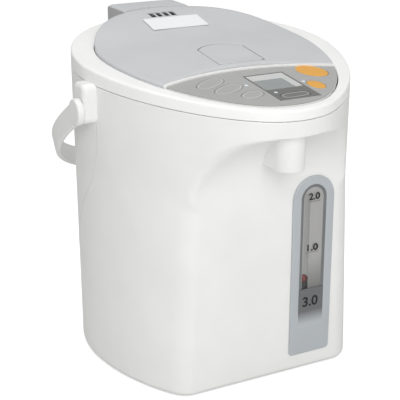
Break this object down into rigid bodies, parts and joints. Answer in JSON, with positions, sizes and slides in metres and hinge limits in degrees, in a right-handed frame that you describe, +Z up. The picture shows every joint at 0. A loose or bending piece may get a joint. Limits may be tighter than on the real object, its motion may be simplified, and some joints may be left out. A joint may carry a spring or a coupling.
{
  "type": "electric thermo pot",
  "caption": "Egg-shaped hot-water pot with an overhanging spout, a sloping key panel with a display, a hinged lid with a latch lever, a swinging bail handle, a level gauge and a motor pump",
  "frame": {"origin": "on the axis of the round vessel, on the surface that the pot stands on", "axes": "+Z up, -Y the front with the spout, +X the side on which the level gauge stands"},
  "size_m": [0.2426, 0.2909, 0.266],
  "materials": {
    "white_plastic": "smooth satin gloss",
    "silver_plastic": "silver lacquer, satin",
    "panel_grey": "fine matt print",
    "key_dark": "fine matt print",
    "key_orange": "fine matt print",
    "gauge_grey": "satin",
    "clear_plastic": "clear, polished",
    "glass_tube": "clear, polished",
    "lamp_white": "smooth",
    "float_red": "smooth",
    "base_plastic": "fine grain",
    "dark_plastic": "fine grain",
    "impeller_plastic": "smooth",
    "rubber_grey": "matt",
    "rubber_dark": "matt",
    "steel": "fine brushed",
    "pin_steel": "turned",
    "magnet_iron": "sintered",
    "heater_alloy": "matt",
    "insulation": "felted",
    "board_green": "lacquered",
    "display_grey": "flat",
    "contact_brass": "polished"
  },
  "bodies": {
    "pot": {"front_casing": "white_plastic", "rear_casing": "white_plastic", "top_ring": "white_plastic", "bottom_cover": "base_plastic", "feet": "rubber_dark", "bottom_screws": "pin_steel", "handle_brackets": "white_plastic", "handle_pins": "pin_steel", "spout_cover": "white_plastic", "nozzle": "base_plastic", "delivery_pipe": "rubber_grey", "upper_sleeve": "rubber_grey", "gauge_tube": "glass_tube", "lower_sleeve": "rubber_grey", "outlet_elbow": "dark_plastic", "gauge_plate": "gauge_grey", "gauge_window": "clear_plastic", "gauge_backing": "gauge_grey", "vessel": "steel", "vessel_sleeve": "insulation", "heater_band": "heater_alloy", "vessel_tray": "dark_plastic", "mouth_collar": "white_plastic", "pump_housing": "dark_plastic", "pump_cover": "dark_plastic", "pump_shaft": "pin_steel", "pump_motor": "pin_steel", "power_board": "board_green", "temperature_sensor": "steel", "inlet_housing": "base_plastic", "inlet_pins": "contact_brass", "panel_frame": "white_plastic", "panel_sheet": "panel_grey", "display_window": "clear_plastic", "display_module": "display_grey", "control_board": "board_green", "indicator_lamps": "lamp_white", "hinge_mount": "white_plastic", "hinge_pin": "pin_steel"},
    "handle": {"handle": "white_plastic"},
    "lid": {"lid_top": "silver_plastic", "lid_under": "steel", "lid_gasket": "rubber_grey", "steam_duct": "base_plastic", "hinge_cover": "silver_plastic", "hinge_arm": "silver_plastic", "lid_label": "lamp_white", "lever_pin": "pin_steel", "latch_tray": "base_plastic"},
    "lever": {"latch_lever": "silver_plastic"},
    "bolt": {"latch_bolt": "pin_steel"},
    "float": {"float_ball": "float_red"},
    "rotor": {"impeller": "impeller_plastic"},
    "magnet": {"drive_magnet": "magnet_iron"},
    "dispense_key": {"dispense_button": "key_orange"},
    "unlock_key": {"unlock_button": "key_orange"},
    "left_key": {"left_button": "panel_grey"},
    "middle_key": {"middle_button": "panel_grey"},
    "right_key": {"right_button": "panel_grey"},
    "boil_key": {"boil_button": "key_dark"}
  },
  "joints": [
    {"name": "lid_hinge", "type": "hinge", "parent": "pot", "child": "lid", "pos_m": [0, 0.109, 0.256], "axis": [-1, 0, 0], "range_deg": [0, 70]},
    {"name": "lever_hinge", "type": "hinge", "parent": "lid", "child": "lever", "pos_m": [0, -0.00982, 0.2456], "axis": [-1, 0, 0], "range_deg": [0, 22], "stiffness_Nm_per_rad": 0.02, "springref_deg": -17.19},
    {"name": "bolt_slide", "type": "slide", "parent": "lid", "child": "bolt", "axis": [0, -0.9944, -0.1054], "range_m": [0, 0.005]},
    {"name": "handle_pivot", "type": "hinge", "parent": "pot", "child": "handle", "pos_m": [0, -0.015, 0.2125], "axis": [1, 0, 0], "range_deg": [0, 150]},
    {"name": "float_rise", "type": "slide", "parent": "pot", "child": "float", "axis": [0, 0, 1], "range_m": [0, 0.075]},
    {"name": "rotor_spin", "type": "hinge", "parent": "pot", "child": "rotor", "pos_m": [0.038, -0.045, 0.036], "axis": [0, 0, 1], "continuous": true},
    {"name": "magnet_spin", "type": "hinge", "parent": "pot", "child": "magnet", "pos_m": [0.038, -0.045, 0.026], "axis": [0, 0, 1], "continuous": true},
    {"name": "dispense_press", "type": "slide", "parent": "pot", "child": "dispense_key", "axis": [0, 0.1054, -0.9944], "range_m": [0, 0.0008], "stiffness_N_per_m": 300, "springref_m": -0.0006},
    {"name": "unlock_press", "type": "slide", "parent": "pot", "child": "unlock_key", "axis": [0, 0.1054, -0.9944], "range_m": [0, 0.0008], "stiffness_N_per_m": 300, "springref_m": -0.0006},
    {"name": "left_press", "type": "slide", "parent": "pot", "child": "left_key", "axis": [0, 0.1054, -0.9944], "range_m": [0, 0.0008], "stiffness_N_per_m": 300, "springref_m": -0.0006},
    {"name": "middle_press", "type": "slide", "parent": "pot", "child": "middle_key", "axis": [0, 0.1054, -0.9944], "range_m": [0, 0.0008], "stiffness_N_per_m": 300, "springref_m": -0.0006},
    {"name": "right_press", "type": "slide", "parent": "pot", "child": "right_key", "axis": [0, 0.1054, -0.9944], "range_m": [0, 0.0008], "stiffness_N_per_m": 300, "springref_m": -0.0006},
    {"name": "boil_press", "type": "slide", "parent": "pot", "child": "boil_key", "axis": [0, 0.1054, -0.9944], "range_m": [0, 0.0008], "stiffness_N_per_m": 300, "springref_m": -0.0006}
  ],
  "couplings": [
    {"joint": "rotor_spin", "follows": "magnet_spin", "ratio": 1}
  ]
}
